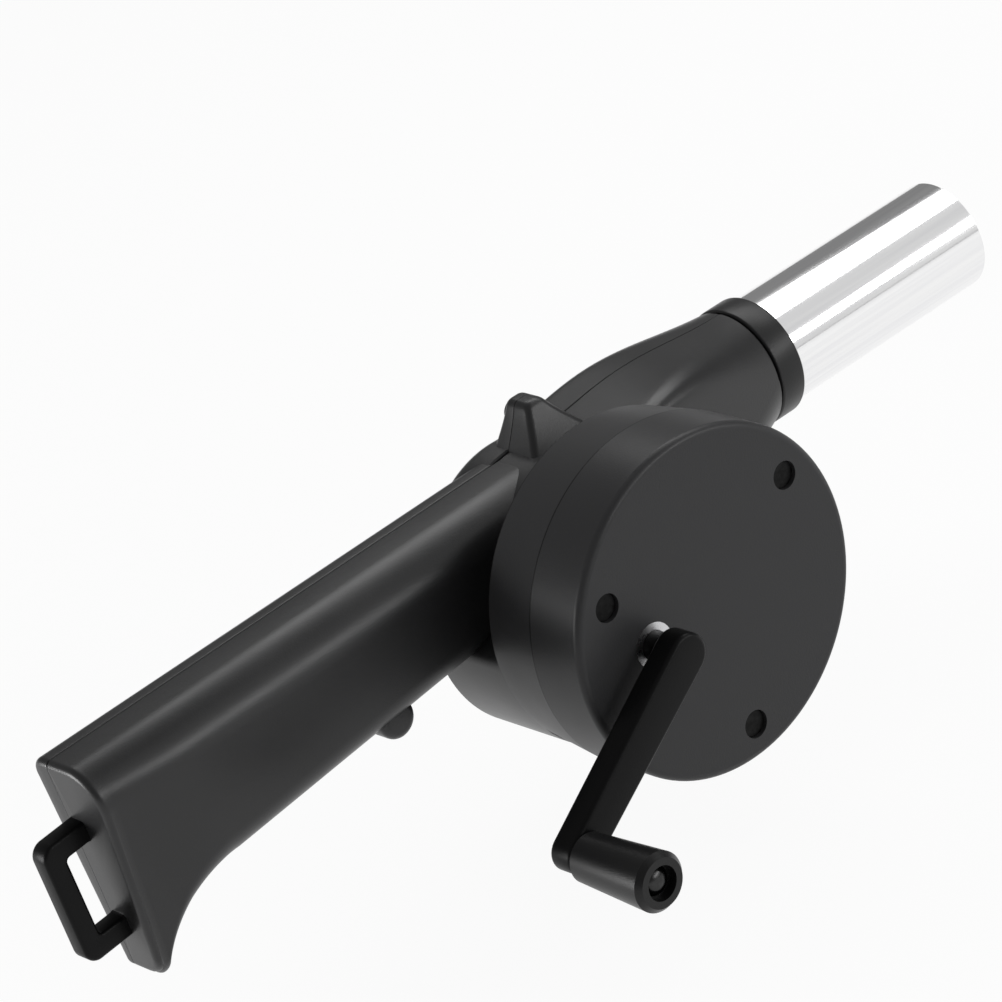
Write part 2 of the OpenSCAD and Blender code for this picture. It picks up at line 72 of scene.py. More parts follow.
view_back = Vector((math.sin(view_turn) * math.cos(view_lift),
                    -math.cos(view_turn) * math.cos(view_lift), math.sin(view_lift)))
level_right = Vector((math.cos(view_turn), math.sin(view_turn), 0))
level_up = view_back.cross(level_right)
frame_right = level_right * math.cos(view_roll) + level_up * math.sin(view_roll)
frame_up = level_up * math.cos(view_roll) - level_right * math.sin(view_roll)
camera_data = bpy.data.cameras.new("camera")
camera_data.lens = lens_length
camera_data.sensor_width = film_width
camera_data.clip_end = 20
camera = bpy.data.objects.new("camera", camera_data)
camera_place = Matrix((frame_right, frame_up, view_back)).transposed().to_4x4()
camera_place.translation = (drum_axis + view_back * view_distance
                            + frame_right * view_right + frame_up * view_up)
camera.matrix_world = camera_place
bpy.context.scene.collection.objects.link(camera)
bpy.context.scene.camera = camera


# Studio. A pale floor that stays near white for the camera but keeps the shadow, weak light from
# all round, a large soft box in front, two strips along the handle and tube, and a low rear lamp.
def link_nodes(tree, wires):
    """Joins node sockets: each wire is (from node, output, to node, input)."""
    for source, output, target, entry in wires:
        tree.links.new(source.outputs[output], target.inputs[entry])


def studio_floor():
    """A flat square below the knob's lowest place, and a material that is near white to the camera."""
    half = 6.0
    knob_clear = 8 * mm
    arm = joint_at["knob_spin"] - joint_at["crank_turn"]
    height = joint_at["crank_turn"].z - math.hypot(arm.x, arm.z) - knob_clear
    mesh = bpy.data.meshes.new("floor")
    corners = [(-half, -half, height), (half, -half, height), (half, half, height), (-half, half, height)]
    mesh.from_pydata(corners, [], [(0, 1, 2, 3)])
    floor = bpy.data.objects.new("floor", mesh)
    bpy.context.scene.collection.objects.link(floor)
    material = bpy.data.materials.new("pale_floor")
    material.use_nodes = True
    tree = material.node_tree
    tree.nodes.clear()
    diffuse = tree.nodes.new("ShaderNodeBsdfDiffuse")
    diffuse.inputs["Color"].default_value = (0.86, 0.86, 0.86, 1)
    glow = tree.nodes.new("ShaderNodeEmission")
    glow.inputs["Strength"].default_value = 1.0
    path = tree.nodes.new("ShaderNodeLightPath")
    seen = tree.nodes.new("ShaderNodeMath")
    seen.operation = "MAXIMUM"
    share = tree.nodes.new("ShaderNodeMath")
    share.operation = "MULTIPLY"
    share.inputs[1].default_value = 0.93
    mix = tree.nodes.new("ShaderNodeMixShader")
    out = tree.nodes.new("ShaderNodeOutputMaterial")
    link_nodes(tree, [(path, "Is Camera Ray", seen, 0), (path, "Is Glossy Ray", seen, 1),
                      (seen, 0, share, 0), (share, 0, mix, 0), (diffuse, 0, mix, 1), (glow, 0, mix, 2),
                      (mix, 0, out, "Surface")])
    mesh.materials.append(material)


def soft_light(name, place, target, size, power):
    """A rectangular lamp at place that faces target."""
    lamp = bpy.data.lights.new(name, "AREA")
    lamp.shape = "RECTANGLE"
    lamp.size, lamp.size_y = size
    lamp.energy = power
    holder = bpy.data.objects.new(name, lamp)
    holder.location = place
    holder.rotation_euler = (Vector(target) - Vector(place)).to_track_quat("-Z", "Y").to_euler()
    bpy.context.scene.collection.objects.link(holder)


def studio_world():
    """Even pale light from all round."""
    world = bpy.data.worlds.new("studio")
    world.use_nodes = True
    background = world.node_tree.nodes["Background"]
    background.inputs["Color"].default_value = (1, 1, 1, 1)
    background.inputs["Strength"].default_value = 0.24
    bpy.context.scene.world = world


bpy.context.scene.view_settings.view_transform = "Standard"
studio_floor()
studio_world()
soft_light("front_box", (0.60, -0.70, 0.50), (0.09, 0, 0), (1.2, 1.1), 2.0)
soft_light("edge_strip", (0.40, -0.71, 0.27), (-0.05, 0, 0), (0.9, 0.16), 2.4)
soft_light("top_strip", (0.42, 0.21, 0.58), (0.06, 0.03, 0), (0.75, 0.25), 2.2)
soft_light("rear_light", (-0.45, 0.25, 0.02), (-0.12, 0, 0), (0.2, 0.2), 1.6)


# Black moulded plastic of the body. Satin, with a fine spark-eroded grain, a faint flow tone and
# paler raised edges where hands rub it.
def new_group(name, inputs, outputs):
    """An empty shader node group with named sockets, and its in and out nodes."""
    group = bpy.data.node_groups.new(name, "ShaderNodeTree")
    for label, kind, value in inputs:
        group.interface.new_socket(label, in_out="INPUT", socket_type=kind).default_value = value
    for label, kind in outputs:
        group.interface.new_socket(label, in_out="OUTPUT", socket_type=kind)
    return group, group.nodes.new("NodeGroupInput"), group.nodes.new("NodeGroupOutput")


def moulded_grain_group():
    """Fine noise raises the normal, a slow noise shifts tone and gloss, and sharp edges turn paler."""
    tree, entry, leave = new_group(
        "moulded_grain",
        [("Dark", "NodeSocketColor", (0.03, 0.03, 0.03, 1)),
         ("Light", "NodeSocketColor", (0.05, 0.05, 0.05, 1)),
         ("Worn", "NodeSocketColor", (0.09, 0.09, 0.09, 1)), ("Wear", "NodeSocketFloat", 0.0),
         ("Grain Scale", "NodeSocketFloat", 2600.0), ("Grain Height", "NodeSocketFloat", 0.12),
         ("Smooth", "NodeSocketFloat", 0.38), ("Rough", "NodeSocketFloat", 0.5)],
        [("Color", "NodeSocketColor"), ("Roughness", "NodeSocketFloat"), ("Normal", "NodeSocketVector")])
    place = tree.nodes.new("ShaderNodeTexCoord")
    grain = tree.nodes.new("ShaderNodeTexNoise")
    grain.inputs["Detail"].default_value = 3.0
    flow = tree.nodes.new("ShaderNodeTexNoise")
    flow.inputs["Scale"].default_value = 34.0
    flow.inputs["Detail"].default_value = 4.0
    tone = tree.nodes.new("ShaderNodeMix")
    tone.data_type = "RGBA"
    edge = tree.nodes.new("ShaderNodeNewGeometry")
    raised = tree.nodes.new("ShaderNodeMapRange")
    raised.inputs["From Min"].default_value = 0.53
    raised.inputs["From Max"].default_value = 0.65
    worn = tree.nodes.new("ShaderNodeMix")
    worn.data_type = "RGBA"
    gloss = tree.nodes.new("ShaderNodeMapRange")
    gloss.inputs["From Min"].default_value = 0.3
    gloss.inputs["From Max"].default_value = 0.7
    bump = tree.nodes.new("ShaderNodeBump")
    bump.inputs["Distance"].default_value = 0.0002
    link_nodes(tree, [(place, "Object", grain, "Vector"), (place, "Object", flow, "Vector"),
                      (entry, "Grain Scale", grain, "Scale"), (entry, "Grain Height", bump, "Strength"),
                      (grain, 0, bump, "Height"), (flow, 0, gloss, "Value"),
                      (entry, "Smooth", gloss, "To Min"), (entry, "Rough", gloss, "To Max"),
                      (flow, 0, tone, 0), (entry, "Dark", tone, 6),
                      (entry, "Light", tone, 7), (edge, "Pointiness", raised, "Value"),
                      (entry, "Wear", raised, "To Max"), (raised, 0, worn, 0), (tone, 2, worn, 6),
                      (entry, "Worn", worn, 7), (worn, 2, leave, "Color"), (gloss, 0, leave, "Roughness"),
                      (bump, 0, leave, "Normal")])
    return tree


moulded_grain = moulded_grain_group()


def moulded_plastic(name, dark, light, smooth, rough, wear=0.0, shine=0.45, grain=2600.0, height=0.12):
    """A plastic whose colour, gloss and grain come from the moulded grain group."""
    material = bpy.data.materials.new(name)
    material.use_nodes = True
    tree = material.node_tree
    shader = tree.nodes["Principled BSDF"]
    shader.inputs["Specular IOR Level"].default_value = shine
    group = tree.nodes.new("ShaderNodeGroup")
    group.node_tree = moulded_grain
    for label, value in (("Dark", dark), ("Light", light), ("Worn", 2.2 * light)):
        group.inputs[label].default_value = (value, value, value * 1.04, 1)
    group.inputs["Wear"].default_value = wear
    group.inputs["Grain Scale"].default_value = grain
    group.inputs["Grain Height"].default_value = height
    group.inputs["Smooth"].default_value = smooth
    group.inputs["Rough"].default_value = rough
    link_nodes(tree, [(group, "Color", shader, "Base Color"), (group, "Roughness", shader, "Roughness"),
                      (group, "Normal", shader, "Normal")])
    return material


def dress(piece, material):
    """Gives a piece or a node one material all over."""
    piece.data.materials.clear()
    piece.data.materials.append(material)


body_black = moulded_plastic("body_black", 0.013, 0.018, 0.30, 0.40, wear=1.0)


# Fan chamber. Behind the gear case the drum draws in to the fan's own size, with a fuller lobe
# below the handle; it is moulded in one with the right half, and its left wall leaves the inlet open.
drum_r = 35.5
drum_mid_r = drum_r - 1.6
drum_root_r = 23.3
drum_flare = 6
inlet_open_r = 22.8
lobe_x = -1.0
lobe_z = -5.2
lobe_r = drum_mid_r - math.hypot(lobe_x, lobe_z) + 1.3
lobe_top = 2.0
lobe_blend = 7.0
fan_d = 24.0
wall = 2.0
seam_gap = 0.05
rim_edge = 0.4
case_groove = 0.3
body_skins = {"housing_right": [], "housing_left": []}


def placed(x, depth, z):
    """Points in metres in the row frame from millimetres about the drum axis."""
    x, depth, z = np.broadcast_arrays(x, depth, z)
    return np.stack([x * mm + drum_axis.x, seam_y - depth * mm, z * mm + drum_axis.z], axis=-1)


def rounded_rings(corners, cuts, steps):
    """Closed rings with rounded corners: each corner becomes a conic arc between points on its two sides.

    corners has shape (rings, corners, 2) and cuts (rings, corners); the arc's weight is the sine of half
    the corner's angle, so a square corner becomes a true circle.
    """
    back = np.roll(corners, 1, axis=1) - corners
    ahead = np.roll(corners, -1, axis=1) - corners
    back = back / np.linalg.norm(back, axis=2, keepdims=True)
    ahead = ahead / np.linalg.norm(ahead, axis=2, keepdims=True)
    cosine = np.clip((back * ahead).sum(axis=2), -1, 1)
    weight = np.sqrt((1 - cosine) / 2)[:, :, None, None]
    t = np.linspace(0, 1, steps)[None, None, :, None]
    first = (corners + back * cuts[:, :, None])[:, :, None, :]
    last = (corners + ahead * cuts[:, :, None])[:, :, None, :]
    blend = 2 * t * (1 - t) * weight
    points = (1 - t) ** 2 * first + blend * corners[:, :, None, :] + t ** 2 * last
    points = points / ((1 - t) ** 2 + blend + t ** 2)
    return points.reshape(len(corners), -1, 2)


def loft_faces(grid, along=False, far_middle=None):
    """Vertices and faces of a grid of closed rings: quads between neighbours, then end fans or a join.

    far_middle is the middle of the last fan, where it isn't the mean of its ring.
    """
    rings, count = grid.shape[:2]
    index = np.arange(rings * count).reshape(rings, count)
    index = np.concatenate([index, index[:, :1]], axis=1)
    if along:
        index = np.concatenate([index, index[:1]], axis=0)
    quads = np.stack([index[:-1, :-1], index[:-1, 1:], index[1:, 1:], index[1:, :-1]], axis=-1)
    vertices = grid.reshape(-1, 3)
    faces = quads.reshape(-1, 4).tolist()
    for end in () if along else (0, -1):
        middle = len(vertices)
        point = grid[end].mean(axis=0) if end == 0 or far_middle is None else far_middle
        vertices = np.concatenate([vertices, point[None, :]])
        faces += [[a, b, middle] for a, b in zip(index[end, :-1].tolist(), index[end, 1:].tolist())]
    return vertices, faces


def make_piece(name, surfaces, material, body, slot_name, *replaced):
    """One object from several surfaces, with doubles merged, faces outward and smooth shading."""
    mesh = bpy.data.meshes.new(name)
    vertices = []
    faces = []
    for points, polygons in surfaces:
        faces += [[i + len(vertices) for i in polygon] for polygon in polygons]
        vertices += points.tolist()
    mesh.from_pydata(vertices, [], faces)
    work = bmesh.new()
    work.from_mesh(mesh)
    bmesh.ops.remove_doubles(work, verts=work.verts, dist=2e-6)
    bmesh.ops.recalc_face_normals(work, faces=work.faces)
    work.to_mesh(mesh)
    work.free()
    mesh.shade_smooth()
    mesh.set_sharp_from_angle(angle=math.radians(38))
    piece = bpy.data.objects.new(name, mesh)
    bpy.context.scene.collection.objects.link(piece)
    dress(piece, material)
    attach(piece, body)
    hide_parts(*replaced)
    return piece


def flared_radius(depth):
    """Outside of the drum without its lobe: a steep power curve from the root to the gear case."""
    return drum_root_r + (drum_mid_r - drum_root_r) * np.clip(depth / fan_d, 0, 1) ** drum_flare


def chamber():
    """Radius over angle and depth: the flare, or below the handle the lobe's eccentric circle if larger.

    Each angle carries a closed loop: along the outside, back along the inside, and in to the inlet opening.
    """
    turn = np.linspace(0, 2 * math.pi, 160, endpoint=False)[None, :]
    ease = np.array([0, 0.5, 1.0])
    middle = np.linspace(1.2, fan_d - 1, 32)
    end = fan_d - seam_gap - rim_edge
    along = np.concatenate([seam_gap + rim_edge * ease, middle, end + rim_edge * ease])
    drawn = np.concatenate([rim_edge * (1 - ease), 0 * middle, case_groove * ease])[:, None]
    away = math.hypot(lobe_x, lobe_z)
    lean = turn - math.atan2(lobe_z, lobe_x)
    lobe = away * np.cos(lean) + np.sqrt(lobe_r ** 2 - (away * np.sin(lean)) ** 2)
    share = np.clip((lobe_top - lobe * np.sin(turn)) / lobe_blend, 0, 1)
    share = share ** 2 * (3 - 2 * share)
    flare = flared_radius(along[:, None]) + 0 * turn
    most = drum_r - (drum_r - drum_mid_r) * np.clip(along[:, None] / fan_d, 0, 1) ** drum_flare
    outer = np.minimum(flare + share * np.logaddexp(0, (lobe - flare) / 0.8) * 0.8, most)
    inner = np.maximum(outer - wall, inlet_open_r)[::-1]
    opening = np.full((2, turn.shape[1]), inlet_open_r)
    radius = np.concatenate([outer - drawn, inner, opening])
    depth = np.concatenate([along, np.maximum(along[::-1], wall), [wall, seam_gap]])[:, None]
    return loft_faces(placed(radius * np.cos(turn), depth, radius * np.sin(turn)), along=True)


body_skins["housing_right"].append(chamber())


# Air inlet on the left side. A low round dome whose flat face is a grille, with a hub that holds the
# fan's bush and narrow bars between the radial slots; all of it is moulded in one with the left half.
inlet_r = 23.7
inlet_d = 9.0
inlet_edge_r = 4.0
slot_in_r = 8.0
slot_out_r = inlet_r - 5
slot_w = 2.6
slot_n = 16
bar_drop = 0.1
bar_lap = 0.3
bar_edge = 0.3
bush_r = 3.05


def turned_shell(profile):
    """A closed outline of radius and depth pairs, turned round the drum axis on the left side."""
    turn = np.linspace(0, 2 * math.pi, 128, endpoint=False)[None, :]
    radius = profile[:, :1]
    return loft_faces(placed(radius * np.cos(turn), -profile[:, 1:], radius * np.sin(turn)), along=True)


def inlet_rim():
    """Outline of the dome's wall: up the side, over its rounded edge to the slots, and back inside."""
    arc = np.linspace(0, math.pi / 2, 12)
    middle = np.array([inlet_r - inlet_edge_r, inlet_d - inlet_edge_r])
    sweep = np.stack([np.cos(arc), np.sin(arc)], axis=1)
    ends = np.array([[slot_out_r, inlet_d], [slot_out_r, inlet_d - wall]])
    foot = np.array([[inlet_r - wall, seam_gap], [inlet_r - 0.3, seam_gap], [inlet_r, 0.4]])
    return turned_shell(np.concatenate([middle + inlet_edge_r * sweep, ends,
                                        (middle + (inlet_edge_r - wall) * sweep)[::-1], foot]))


def inlet_hub():
    """Outline of the hub: a disc with eased edges and a sleeve round the bush."""
    return turned_shell(np.array([[bush_r, 1.0], [bush_r + 1.8, 1.0], [bush_r + 1.8, inlet_d - wall],
                                  [slot_in_r, inlet_d - wall], [slot_in_r, inlet_d - 0.4],
                                  [slot_in_r - 0.4, inlet_d], [bush_r, inlet_d]]))


def inlet_bar(angle):
    """One bar between two slots, just below the rim's face: straight flanks a slot's width from the next."""
    reach = np.linspace(slot_in_r - bar_lap, slot_out_r + bar_lap, 8)[:, None]
    half = math.pi / slot_n * reach - slot_w / 2
    ease = np.minimum(bar_edge, 0.5 * half)
    across = np.concatenate([-half, -half, -half + ease, half - ease, half, half], axis=1)
    low = np.full_like(half, inlet_d - wall + bar_drop)
    high = np.full_like(half, inlet_d - bar_drop)
    height = np.concatenate([low, high - ease, high, high, high - ease, low], axis=1)
    x = reach * math.cos(angle) - across * math.sin(angle)
    z = reach * math.sin(angle) + across * math.cos(angle)
    return loft_faces(placed(x, -height, z))


def dome_radius(depth):
    """Outside of the dome over its depth: a cylinder, then a quarter circle in to the flat face."""
    past = np.clip(depth - (inlet_d - inlet_edge_r), 0, inlet_edge_r)
    return inlet_r - inlet_edge_r + np.sqrt(inlet_edge_r ** 2 - past ** 2)


body_skins["housing_left"] += [inlet_rim(), inlet_hub()]
body_skins["housing_left"] += [inlet_bar(2 * math.pi * (i + 0.5) / slot_n) for i in range(slot_n)]


# Handle. Two moulded halves screwed together, the left one narrower; the top is flat with a large
# rounding on the right, the underside falls to the rear and ends in a hooked heel.
handle_l = 121.5
handle_top = 23.0
top_slope = math.tan(math.radians(1))
belly_z = 1.4
belly_slope = math.tan(math.radians(6))
handle_w = 15.0
lid_w = 5.5
grip_r = 9.0
low_r = 6.0
edge_r = 3.5
heel_z = 28.6
heel_r = 20.0
heel_l = 27.0
heel_x = heel_l - handle_l
heel_w = 8.0
lid_heel_w = 2.2
heel_taper_z = 13.0
tip_r = 1.0
rear_r = 1.3
front_core_x = -30.0
seam_edge = 0.35


def handle_half(side, top_w, tip_w, top_cut, low_cut, end_r):
    """Half of the handle: sections lean from a lower path (heel tip, hollow, belly) to the top line.

    Each section is a four-cornered ring from the seam to the side wall; x runs from the lower path to
    the top line in proportion to the height. The first rings are drawn in on a quarter circle to round
    the rear, and no point passes the circle of the wall in which the handle ends.
    """
    hollow_z = -belly_z + belly_slope * heel_x - heel_r
    hollow_end = math.pi - math.asin((tip_r - heel_z - hollow_z) / heel_r)
    tip_x = heel_x + heel_r * math.cos(hollow_end) - tip_r
    turn = np.linspace(0, math.pi, 9)
    hollow = np.linspace(hollow_end, math.pi / 2, 26)[1:]
    belly = np.linspace(heel_x, 0, 30)[1:]
    low_x = np.concatenate([tip_x - tip_r * np.cos(turn), heel_x + heel_r * np.cos(hollow), belly])
    low_z = np.concatenate([tip_r - heel_z - tip_r * np.sin(turn), hollow_z + heel_r * np.sin(hollow),
                            -belly_z + belly_slope * belly])
    bend = np.concatenate([np.linspace(0, 0.08, 9), np.linspace(0.08, 1, 26)[1:]])
    rear_x = -handle_l + rear_r
    top_x = np.concatenate([rear_x + bend * (heel_x - rear_x), belly])
    ease = np.linspace(0, math.pi / 2, 6)[:-1]
    first = np.zeros(len(ease), dtype=int)
    order = np.concatenate([first, np.arange(len(low_x))])
    back = np.concatenate([rear_r * np.cos(ease), np.zeros(len(low_x))])
    inward = np.concatenate([rear_r * (1 - np.sin(ease)), np.zeros(len(low_x))])
    low_x, low_z, top_x = low_x[order], low_z[order], top_x[order]
    top_z = handle_top + top_slope * top_x - inward
    drop = np.clip((-belly_z + belly_slope * low_x - low_z) / (heel_z - heel_taper_z), 0, 1)
    low_w = top_w - (top_w - tip_w) * drop - inward
    low_z = low_z + inward
    seam = np.full_like(low_x, seam_gap)
    corners = np.stack([np.stack([seam, top_z], 1), np.stack([top_w - inward, top_z], 1),
                        np.stack([low_w, low_z], 1), np.stack([seam, low_z], 1)], axis=1)
    cuts = np.stack([np.full_like(low_x, seam_edge), top_cut - inward,
                     np.minimum(low_cut, 0.45 * low_w), np.full_like(low_x, seam_edge)], axis=1)
    rings = rounded_rings(corners, cuts, 12)
    share = (rings[:, :, 1] - low_z[:, None]) / (top_z - low_z)[:, None]
    x = low_x[:, None] + (top_x - low_x)[:, None] * share - back[:, None]
    depth, z = rings[:, :, 0], rings[:, :, 1]
    x = np.minimum(x, -np.sqrt(np.maximum((end_r(depth) - 0.3) ** 2 - z ** 2, 0)))
    core = placed(front_core_x, side * top_w / 2, handle_top / 2)
    return loft_faces(placed(x, side * depth, z), far_middle=core)


body_skins["housing_right"].append(handle_half(1, handle_w, heel_w, grip_r, low_r, flared_radius))
body_skins["housing_left"].append(handle_half(-1, lid_w, lid_heel_w, edge_r, edge_r, dome_radius))


# Bump under the handle, in which the middle body screw sits. It is moulded in one with the halves
# and ends in a rounded face on the right side.
bump_x = -52.0
bump_z = -6.5
bump_r = 4.2
bump_right = 13.0
bump_edge = 1.6


def bump_half(side, reach):
    """A round bar across the handle: circles along the depth, the last ones drawn in to round the end."""
    turn = np.linspace(0, 2 * math.pi, 48, endpoint=False)[None, :]
    ease = np.linspace(0, math.pi / 2, 7)
    depth = np.concatenate([[seam_gap, 0.3], reach - bump_edge + bump_edge * np.sin(ease)])[:, None]
    rounding = bump_edge * (1 - np.cos(ease))
    radius = np.concatenate([[bump_r - 0.25, bump_r], bump_r - rounding])[:, None]
    return loft_faces(placed(bump_x + radius * np.cos(turn), side * depth, bump_z + radius * np.sin(turn)))


body_skins["housing_right"].append(bump_half(1, bump_right))
body_skins["housing_left"].append(bump_half(-1, lid_w))


# Hump on top of the body, which holds the upper body screw. A small pyramid with a rounded tip,
# moulded half on each body half.
hump_x = 6.0
hump_top = 32.2
hump_base_z = 20.5
hump_edge = 1.1
hump_corner = 1.4
hump_tip_l = 2.2
hump_rear_foot = 6.5
hump_front_foot = 9.0
hump_right_w = 9.8
hump_right_tip = 3.8
hump_left_w = 5.5
hump_left_tip = 2.9


def hump_half(side, base_w, tip_w):
    """Rings over the height, from a broad flared foot to a small top with a rounded edge."""
    ease = np.linspace(0, math.pi / 2, 6)[1:]
    level = np.concatenate([np.linspace(0, 0.9, 16), 0.9 + 0.1 * np.sin(ease)])
    rounding = np.concatenate([np.zeros(16), hump_edge * (1 - np.cos(ease))])
    flare = (1 - level) ** 1.2
    z = hump_base_z + (hump_top - hump_base_z) * level
    rear = hump_x - hump_tip_l - hump_rear_foot * flare + rounding
    front = hump_x + hump_tip_l + hump_front_foot * flare - rounding
    width = tip_w + (base_w - tip_w) * flare - rounding
    seam = np.full_like(z, seam_gap)
    corners = np.stack([np.stack([rear, seam], 1), np.stack([front, seam], 1), np.stack([front, width], 1),
                        np.stack([rear, width], 1)], axis=1)
    rounded = np.minimum(hump_corner, 0.4 * width)
    cuts = np.stack([np.full_like(z, 0.1), np.full_like(z, 0.1), rounded, rounded], axis=1)
    rings = rounded_rings(corners, cuts, 9)
    return loft_faces(placed(rings[:, :, 0], side * rings[:, :, 1], z[:, None]))


body_skins["housing_right"].append(hump_half(1, hump_right_w, hump_right_tip))
body_skins["housing_left"].append(hump_half(-1, hump_left_w, hump_left_tip))


# Nozzle of the body. A squarish duct leaves the drum and turns round towards the collar; its upper
# right edge starts sharp and dies out. Each half is a shell, so that the air passes into the tube.
nose_x = 60.0
tube_r = (tube_high.z - tube_low.z) / 2 / mm
tube_z = ((tube_high.z + tube_low.z) / 2 - drum_axis.z) / mm
nose_r = tube_r + 1.0
duct_x = 8.0
duct_lift = 2.4
duct_bottom = -9.0
duct_right_w = 23.0
duct_left_w = 8.9
duct_edge = 2.5
duct_wall = 0.9
nose_groove = 0.6


def duct_points(x, width, inward):
    """Open half sections from the seam's top round to its bottom, between a box and the nose's circle.

    The box keeps its size up to duct_x, and the top line bows up between the drum and the nose.
    """
    share = np.clip((x - duct_x) / (nose_x - duct_x), 0, 1)
    bow = duct_lift * np.sin(math.pi * x / nose_x) ** 2
    top = handle_top + (tube_z + nose_r - handle_top) * share + bow - inward
    bottom = duct_bottom + (tube_z - nose_r - duct_bottom) * share + inward
    side = width + (nose_r - width) * share - inward
    cut = np.maximum(duct_edge + (nose_r - duct_edge) * share ** 1.8 - inward, 0.8)
    cut = np.minimum(cut, 0.999 * np.minimum(side - seam_gap, (top - bottom) / 2))
    seam = np.full_like(share, seam_gap)
    corners = np.stack([np.stack([seam, top], 1), np.stack([side, top], 1), np.stack([side, bottom], 1),
                        np.stack([seam, bottom], 1)], axis=1)
    cuts = np.stack([np.full_like(share, 1e-4), cut, cut, np.full_like(share, 1e-4)], axis=1)
    outline = rounded_rings(corners, cuts, 16)[:, 15:49]
    spread = np.concatenate([[0], np.linspace(0.02, 1, 12)])[None, :, None]
    over = outline[:, :1] + (outline[:, 1:2] - outline[:, :1]) * spread
    under = outline[:, -1:] + (outline[:, -2:-1] - outline[:, -1:]) * spread[:, ::-1]
    even = np.linspace(0, 1, 26)[None, :, None]
    down = outline[:, 16:17] + (outline[:, 17:18] - outline[:, 16:17]) * even
    return np.concatenate([over, outline[:, 2:16], down, outline[:, 18:-2], under], axis=1)


def nozzle_half(side, width, root_r):
    """A shell of outer and inner half sections; each line of it runs from the drum's wall to the nose.

    The start is where the line's distance from the drum axis equals the wall's radius at its depth,
    found by repeating x = sqrt(radius^2 - z^2). The nose's rim is drawn in to leave a groove at the collar.
    """
    station = np.linspace(0, nose_x, 120)
    outer = duct_points(station, width, 0.0)
    outer[:, 0, 1] -= seam_edge
    outer[:, -1, 1] += seam_edge
    lines = np.concatenate([outer, duct_points(station, width, duct_wall)[:, ::-1]], axis=1)
    column = np.arange(lines.shape[1])

    def on_lines(x):
        """Depth and height of each line at x, between the two nearest sections."""
        spot = np.clip(x / nose_x, 0, 1) * (len(station) - 1)
        low = np.minimum(spot.astype(int), len(station) - 2)
        part = (spot - low)[..., None]
        return np.moveaxis(lines[low, column] * (1 - part) + lines[low + 1, column] * part, -1, 0)

    start = np.full(len(column), duct_x + 8.0)
    for _ in range(8):
        depth, z = on_lines(start)
        start = np.sqrt(np.maximum((root_r(depth) - 0.4) ** 2 - z ** 2, 0))
    run = np.concatenate([np.linspace(0, 0.97, 40), [0.985, 0.99, 1.0]])[:, None]
    x = start + (nose_x - start) * run
    depth, z = on_lines(x)
    groove = np.clip((run - 0.985) / 0.005, 0, 1) * (column < len(column) // 2) * nose_groove / nose_r
    return loft_faces(placed(x, side * depth * (1 - groove), z - (z - tube_z) * groove))


body_skins["housing_right"].append(nozzle_half(1, duct_right_w, flared_radius))
body_skins["housing_left"].append(nozzle_half(-1, duct_left_w, dome_radius))
make_piece("body_right", body_skins["housing_right"], body_black, "body", "black_plastic", "housing_right")
make_piece("body_left", body_skins["housing_left"], body_black, "body", "black_plastic", "housing_left")


# Body screws. Three blackened screws pull the left half onto the right one; their domed heads stand
# on the left side.
def streaked_metal(name, dark, light, smooth, rough, stretch):
    """Metal whose tone and gloss vary in streaks: a noise stretched along the directions given."""
    material = bpy.data.materials.new(name)
    material.use_nodes = True
    tree = material.node_tree
    shader = tree.nodes["Principled BSDF"]
    shader.inputs["Metallic"].default_value = 1.0
    place = tree.nodes.new("ShaderNodeTexCoord")
    turn = tree.nodes.new("ShaderNodeMapping")
    turn.inputs["Scale"].default_value = stretch
    streak = tree.nodes.new("ShaderNodeTexNoise")
    streak.inputs["Scale"].default_value = 1.0
    streak.inputs["Detail"].default_value = 5.0
    tone = tree.nodes.new("ShaderNodeValToRGB")
    tone.color_ramp.elements[0].position = 0.35
    tone.color_ramp.elements[0].color = (*dark, 1)
    tone.color_ramp.elements[1].position = 0.65
    tone.color_ramp.elements[1].color = (*light, 1)
    gloss = tree.nodes.new("ShaderNodeMapRange")
    gloss.inputs["From Min"].default_value = 0.35
    gloss.inputs["From Max"].default_value = 0.65
    gloss.inputs["To Min"].default_value = smooth
    gloss.inputs["To Max"].default_value = rough
    link_nodes(tree, [(place, "Object", turn, "Vector"), (turn, 0, streak, "Vector"),
                      (streak, 0, tone, 0), (streak, 0, gloss, "Value"),
                      (tone, 0, shader, "Base Color"), (gloss, 0, shader, "Roughness")])
    return material


screw_head_r = 2.7
hump_screw = (hump_x, 28.4, 3.6)
bump_screw = (bump_x, bump_z, lid_w)
tail_screw = (14.0 - handle_l, 9.0, lid_w)
black_steel = streaked_metal("black_steel", (0.010, 0.010, 0.010), (0.018, 0.018, 0.018), 0.4, 0.5,
                             (900, 300, 900))


def screw_head(x, z, face):
    """A domed head with a ring groove: height over radius, standing on the left face at its place."""
    turn = np.linspace(0, 2 * math.pi, 40, endpoint=False)[None, :]
    outline = np.array([[screw_head_r, -1.5], [screw_head_r, 0.1], [screw_head_r - 0.2, 0.35], [1.9, 0.75],
                        [1.0, 0.95], [0.9, 0.35], [0.05, 0.3]])
    radius = outline[:, :1]
    return loft_faces(placed(x + radius * np.cos(turn), -face - outline[:, 1:], z + radius * np.sin(turn)))


make_piece("body_screw_heads", [screw_head(*hump_screw), screw_head(*bump_screw), screw_head(*tail_screw)],
           black_steel, "body", "steel", "body_screws")


